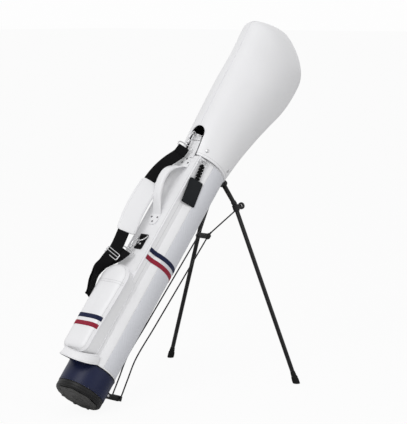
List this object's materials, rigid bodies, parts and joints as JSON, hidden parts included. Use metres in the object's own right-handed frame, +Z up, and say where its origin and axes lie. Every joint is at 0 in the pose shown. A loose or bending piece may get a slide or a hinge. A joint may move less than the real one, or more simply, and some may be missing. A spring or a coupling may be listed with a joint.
{
  "type": "golf stand bag",
  "caption": "Slim tubular golf stand bag leaning on two folding legs, with removable club hood, ball pocket, shoulder strap, handles and name tag.",
  "frame": {"origin": "on the floor, below the middle of the whole bag's bounding box", "axes": "+Z up; the bag leans back towards +X and its legs spread along Y"},
  "size_m": [0.994, 0.524, 1.0518],
  "materials": {
    "white_leather": "semi-gloss smooth synthetic leather",
    "navy_leather": "semi-gloss synthetic leather",
    "black_plastic": "satin moulded plastic",
    "grey_plastic": "matt moulded plastic",
    "black_webbing": "woven webbing",
    "black_metal": "satin black coating",
    "rubber": "matt rubber",
    "steel": "polished nickel plate",
    "lining": "padded fleece lining"
  },
  "bodies": {
    "bag": {"body_shell": "white_leather", "base_band": "navy_leather", "base_piping": "black_plastic", "spine_panel": "white_leather", "top_collar": "white_leather", "club_divider": "lining", "base_cap": "black_plastic", "base_tread": "grey_plastic", "pocket_body": "white_leather", "carry_handle": "white_leather", "handle_rivet_1": "black_metal", "handle_rivet_2": "black_metal", "handle_rivet_3": "black_metal", "handle_rivet_4": "black_metal", "handle_rivet_5": "black_metal", "handle_rivet_6": "black_metal", "grab_loop": "white_leather", "ring_patch": "black_webbing", "patch_rivet": "steel", "ring_lower": "steel", "ring_tab": "white_leather", "ring_upper": "steel", "snap_hook_lower": "steel", "snap_hook_upper": "steel", "strap_web_upper": "black_webbing", "strap_pad": "white_leather", "strap_web_lower": "black_webbing", "strap_slider": "steel", "tag_tab": "white_leather", "leg_bracket": "black_plastic", "leg_pin_right": "steel", "leg_pin_left": "steel", "lever_bracket": "black_plastic", "lever_pin": "steel"},
    "leg_left": {"leg_tube_left": "black_metal", "leg_knuckle_left": "black_plastic", "leg_clip_left": "black_plastic", "leg_foot_left": "rubber"},
    "leg_right": {"leg_tube_right": "black_metal", "leg_knuckle_right": "black_plastic", "leg_clip_right": "black_plastic", "leg_foot_right": "rubber"},
    "lever": {"foot_lever": "black_plastic"},
    "push_frame": {"push_rod_left": "black_metal", "push_rod_right": "black_metal", "rod_bridge": "black_plastic"},
    "tip_left": {"rod_tip_left": "black_metal"},
    "tip_right": {"rod_tip_right": "black_metal"},
    "hood": {"hood_shell": "white_leather", "hood_stud_1": "steel", "hood_stud_2": "steel", "hood_stud_3": "steel", "hood_stud_4": "steel"},
    "tag": {"tag_ring": "steel", "tag_strap": "black_webbing", "tag_plate": "black_plastic"},
    "slider": {"zip_slider": "steel"},
    "pull": {"zip_pull": "steel"},
    "gate_upper": {"hook_gate_upper": "steel"},
    "gate_lower": {"hook_gate_lower": "steel"}
  },
  "joints": [
    {"name": "leg_left_fold", "type": "hinge", "parent": "bag", "child": "leg_left", "pos_m": [0.13505, 0.022, 0.57709], "axis": [-0.3363, 0.8921, 0.3017], "range_deg": [0, 50.89]},
    {"name": "leg_right_fold", "type": "hinge", "parent": "bag", "child": "leg_right", "pos_m": [0.13505, -0.022, 0.57709], "axis": [0.3363, 0.8921, -0.3017], "range_deg": [0, 50.89]},
    {"name": "foot_lever_turn", "type": "hinge", "parent": "bag", "child": "lever", "pos_m": [-0.34882, 0, 0.03182], "axis": [0, 1, 0], "range_deg": [0, 66.98]},
    {"name": "push_frame_turn", "type": "hinge", "parent": "lever", "child": "push_frame", "pos_m": [-0.29966, 0, 0.01324], "axis": [0, 1, 0], "range_deg": [-70.18, 0]},
    {"name": "rod_tip_left_turn", "type": "hinge", "parent": "push_frame", "child": "tip_left", "pos_m": [0.07693, 0.018, 0.43347], "axis": [0.559, 0.2292, -0.7969], "range_deg": [0, 10.7]},
    {"name": "rod_tip_right_turn", "type": "hinge", "parent": "push_frame", "child": "tip_right", "pos_m": [0.07693, -0.018, 0.43347], "axis": [-0.559, 0.2292, 0.7969], "range_deg": [0, 10.7]},
    {"name": "hood_lift", "type": "slide", "parent": "bag", "child": "hood", "axis": [0.6678, 0, 0.7443], "range_m": [0, 0.5]},
    {"name": "tag_swing", "type": "hinge", "parent": "bag", "child": "tag", "pos_m": [0.01685, -0.05067, 0.65491], "axis": [-0.7856, 0.3387, 0.5179], "range_deg": [0, 85]},
    {"name": "zip_travel", "type": "hinge", "parent": "bag", "child": "slider", "pos_m": [-0.29812, 0, 0.34236], "axis": [0.7443, 0, -0.6678], "range_deg": [0, 160]},
    {"name": "zip_pull_swing", "type": "hinge", "parent": "slider", "child": "pull", "pos_m": [-0.29339, 0.0504, 0.34763], "axis": [0.7443, 0, -0.6678], "range_deg": [0, 110]},
    {"name": "gate_upper_open", "type": "hinge", "parent": "bag", "child": "gate_upper", "pos_m": [0.0212, 0.00545, 0.71119], "axis": [-0.111, -0.9867, -0.1191], "range_deg": [0, 21], "stiffness_Nm_per_rad": 0.03},
    {"name": "gate_lower_open", "type": "hinge", "parent": "bag", "child": "gate_lower", "pos_m": [-0.22117, 0.00649, 0.43216], "axis": [-0.1033, -0.9931, -0.0564], "range_deg": [0, 21], "stiffness_Nm_per_rad": 0.03}
  ],
  "couplings": [
    {"joint": "leg_right_fold", "follows": "leg_left_fold", "ratio": 1},
    {"joint": "foot_lever_turn", "follows": "leg_left_fold", "ratio": 1.3161},
    {"joint": "push_frame_turn", "follows": "leg_left_fold", "ratio": -1.3789},
    {"joint": "rod_tip_left_turn", "follows": "leg_left_fold", "ratio": 0.21016},
    {"joint": "rod_tip_right_turn", "follows": "leg_left_fold", "ratio": 0.21016}
  ]
}
